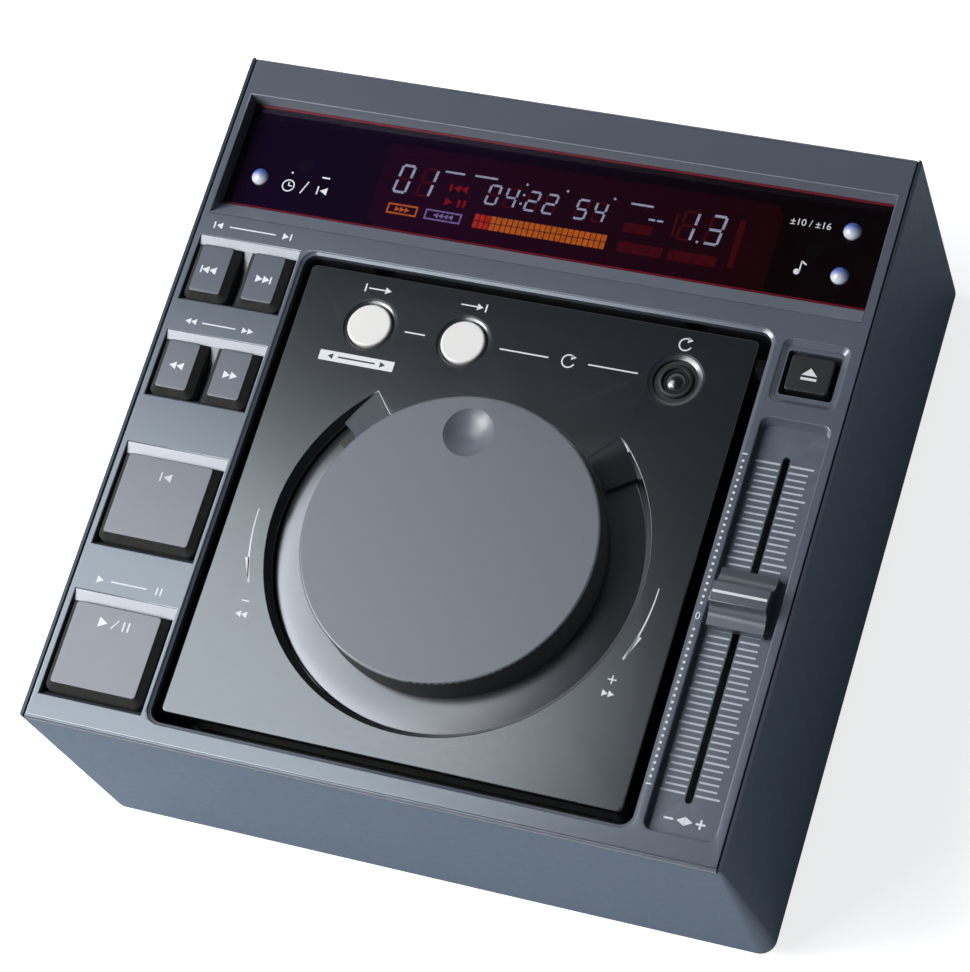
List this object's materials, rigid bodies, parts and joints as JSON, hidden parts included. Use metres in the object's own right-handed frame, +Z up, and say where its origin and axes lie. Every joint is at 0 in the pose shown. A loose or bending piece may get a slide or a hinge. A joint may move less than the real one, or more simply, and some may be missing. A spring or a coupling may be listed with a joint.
{
  "type": "tabletop dj cd player",
  "caption": "Compact top-loading disc player: hinged lid with a jog dial and loop buttons, bevelled keys, tempo slider and a sunken display.",
  "frame": {"origin": "on the table, under the middle of the case", "axes": "+X to the user's right, +Y to the rear with its sockets, +Z up"},
  "size_m": [0.217, 0.223, 0.098],
  "materials": {
    "case_paint": "satin metallic grey",
    "panel_paint": "satin dark grey",
    "lid_paint": "satin dark grey",
    "window": "smoked red, clear",
    "display": "dark display glass in a frame",
    "board": "green board with black parts",
    "black_plastic": "fine matt",
    "key_plastic": "grey faces with black flanks",
    "platter_plastic": "fine matt grey",
    "ring_plastic": "satin grey",
    "white_plastic": "white",
    "dot_plastic": "clear blue-grey",
    "steel": "bright",
    "sheet_steel": "zinc plated",
    "rubber": "matt black",
    "brass": "bright",
    "transformer": "varnished laminations",
    "lens": "clear, blue coated"
  },
  "bodies": {
    "base": {"lower_case": "case_paint", "bottom_plate": "sheet_steel", "feet": "rubber", "case_screws": "steel", "top_panel": "panel_paint", "display_window": "window", "display_module": "display", "display_board": "board", "key_board": "board", "disc_well": "black_plastic", "traverse_chassis": "black_plastic", "traverse_dampers": "rubber", "spindle_motor": "steel", "guide_rods": "steel", "sled_motor": "steel", "main_board": "board", "power_transformer": "transformer", "power_board": "board", "audio_sockets": "brass", "control_socket": "black_plastic", "mains_inlet": "black_plastic", "power_switch": "black_plastic", "hinge_brackets": "sheet_steel", "hinge_pins": "steel", "lid_springs": "steel", "lid_latch": "black_plastic", "fader_body": "sheet_steel"},
    "lid": {"lid_shell": "lid_paint", "lid_liner": "black_plastic", "hinge_arms": "black_plastic", "jog_bush": "brass", "jog_sensor_board": "board", "loop_board": "board"},
    "jog": {"jog_platter": "platter_plastic", "jog_ring": "ring_plastic", "jog_shaft": "steel", "encoder_disc": "black_plastic"},
    "in_button": {"in_button": "white_plastic"},
    "out_button": {"out_button": "white_plastic"},
    "reloop_button": {"reloop_button": "black_plastic"},
    "clamp_puck": {"clamp_puck": "black_plastic"},
    "lid_key": {"lid_key": "black_plastic"},
    "time_button": {"time_button": "dot_plastic"},
    "tempo_range_button": {"tempo_range_button": "dot_plastic"},
    "master_tempo_button": {"master_tempo_button": "dot_plastic"},
    "track_back_key": {"track_back_key": "key_plastic"},
    "track_forward_key": {"track_forward_key": "key_plastic"},
    "search_back_key": {"search_back_key": "key_plastic"},
    "search_forward_key": {"search_forward_key": "key_plastic"},
    "cue_key": {"cue_key": "key_plastic"},
    "play_key": {"play_key": "key_plastic"},
    "tempo_slider": {"slider_cap": "key_plastic", "fader_lever": "steel"},
    "turntable": {"turntable_hub": "white_plastic"},
    "sled": {"pickup_sled": "black_plastic", "objective_lens": "lens"},
    "drive_gear": {"drive_gear": "white_plastic"},
    "motor_pinion": {"motor_pinion": "brass"},
    "power_rocker": {"power_rocker": "black_plastic"}
  },
  "joints": [
    {"name": "lid_hinge", "type": "hinge", "parent": "base", "child": "lid", "pos_m": [-0.0448, 0.0543, 0.0835], "axis": [-1, 0, 0], "range_deg": [0, 60]},
    {"name": "jog_spin", "type": "hinge", "parent": "lid", "child": "jog", "pos_m": [0.0057, -0.0344, 0.084], "axis": [0, 0, 1], "continuous": true},
    {"name": "puck_spin", "type": "hinge", "parent": "lid", "child": "clamp_puck", "pos_m": [0.0057, -0.0344, 0.068], "axis": [0, 0, 1], "continuous": true},
    {"name": "turntable_spin", "type": "hinge", "parent": "base", "child": "turntable", "pos_m": [0.0057, -0.0344, 0.062], "axis": [0, 0, 1], "continuous": true},
    {"name": "sled_slide", "type": "slide", "parent": "base", "child": "sled", "axis": [1, 0, 0], "range_m": [0, 0.034]},
    {"name": "drive_gear_spin", "type": "hinge", "parent": "base", "child": "drive_gear", "pos_m": [0.0527, -0.0662, 0.048], "axis": [0, 0, 1], "range_deg": [-406, 0]},
    {"name": "motor_pinion_spin", "type": "hinge", "parent": "base", "child": "motor_pinion", "pos_m": [0.0527, -0.0842, 0.046], "axis": [0, 0, 1], "range_deg": [0, 1624]},
    {"name": "tempo_slide", "type": "slide", "parent": "base", "child": "tempo_slider", "axis": [0, 1, 0], "range_m": [-0.0573, 0.0437]},
    {"name": "play_press", "type": "slide", "parent": "base", "child": "play_key", "axis": [0, 0, -1], "range_m": [0, 0.0008], "stiffness_N_per_m": 400, "springref_m": -0.001},
    {"name": "cue_press", "type": "slide", "parent": "base", "child": "cue_key", "axis": [0, 0, -1], "range_m": [0, 0.0008], "stiffness_N_per_m": 400, "springref_m": -0.001},
    {"name": "search_back_press", "type": "slide", "parent": "base", "child": "search_back_key", "axis": [0, 0, -1], "range_m": [0, 0.0008], "stiffness_N_per_m": 300, "springref_m": -0.001},
    {"name": "search_forward_press", "type": "slide", "parent": "base", "child": "search_forward_key", "axis": [0, 0, -1], "range_m": [0, 0.0008], "stiffness_N_per_m": 300, "springref_m": -0.001},
    {"name": "track_back_press", "type": "slide", "parent": "base", "child": "track_back_key", "axis": [0, 0, -1], "range_m": [0, 0.0008], "stiffness_N_per_m": 300, "springref_m": -0.001},
    {"name": "track_forward_press", "type": "slide", "parent": "base", "child": "track_forward_key", "axis": [0, 0, -1], "range_m": [0, 0.0008], "stiffness_N_per_m": 300, "springref_m": -0.001},
    {"name": "time_press", "type": "slide", "parent": "base", "child": "time_button", "axis": [0, 0, -1], "range_m": [0, 0.0008], "stiffness_N_per_m": 200, "springref_m": -0.001},
    {"name": "tempo_range_press", "type": "slide", "parent": "base", "child": "tempo_range_button", "axis": [0, 0, -1], "range_m": [0, 0.0008], "stiffness_N_per_m": 200, "springref_m": -0.001},
    {"name": "master_tempo_press", "type": "slide", "parent": "base", "child": "master_tempo_button", "axis": [0, 0, -1], "range_m": [0, 0.0008], "stiffness_N_per_m": 200, "springref_m": -0.001},
    {"name": "lid_key_press", "type": "slide", "parent": "base", "child": "lid_key", "axis": [0, 0, -1], "range_m": [0, 0.0025], "stiffness_N_per_m": 250, "springref_m": -0.001},
    {"name": "in_press", "type": "slide", "parent": "lid", "child": "in_button", "axis": [0, 0, -1], "range_m": [0, 0.0008], "stiffness_N_per_m": 250, "springref_m": -0.001},
    {"name": "out_press", "type": "slide", "parent": "lid", "child": "out_button", "axis": [0, 0, -1], "range_m": [0, 0.0008], "stiffness_N_per_m": 250, "springref_m": -0.001},
    {"name": "reloop_press", "type": "slide", "parent": "lid", "child": "reloop_button", "axis": [0, 0, -1], "range_m": [0, 0.0008], "stiffness_N_per_m": 250, "springref_m": -0.001},
    {"name": "power_rocker_tip", "type": "hinge", "parent": "base", "child": "power_rocker", "pos_m": [-0.0425, 0.106, 0.03], "axis": [1, 0, 0], "range_deg": [0, 12]}
  ],
  "couplings": [
    {"joint": "drive_gear_spin", "follows": "sled_slide", "rad_per_m": -208.33},
    {"joint": "motor_pinion_spin", "follows": "sled_slide", "rad_per_m": 833.33}
  ]
}
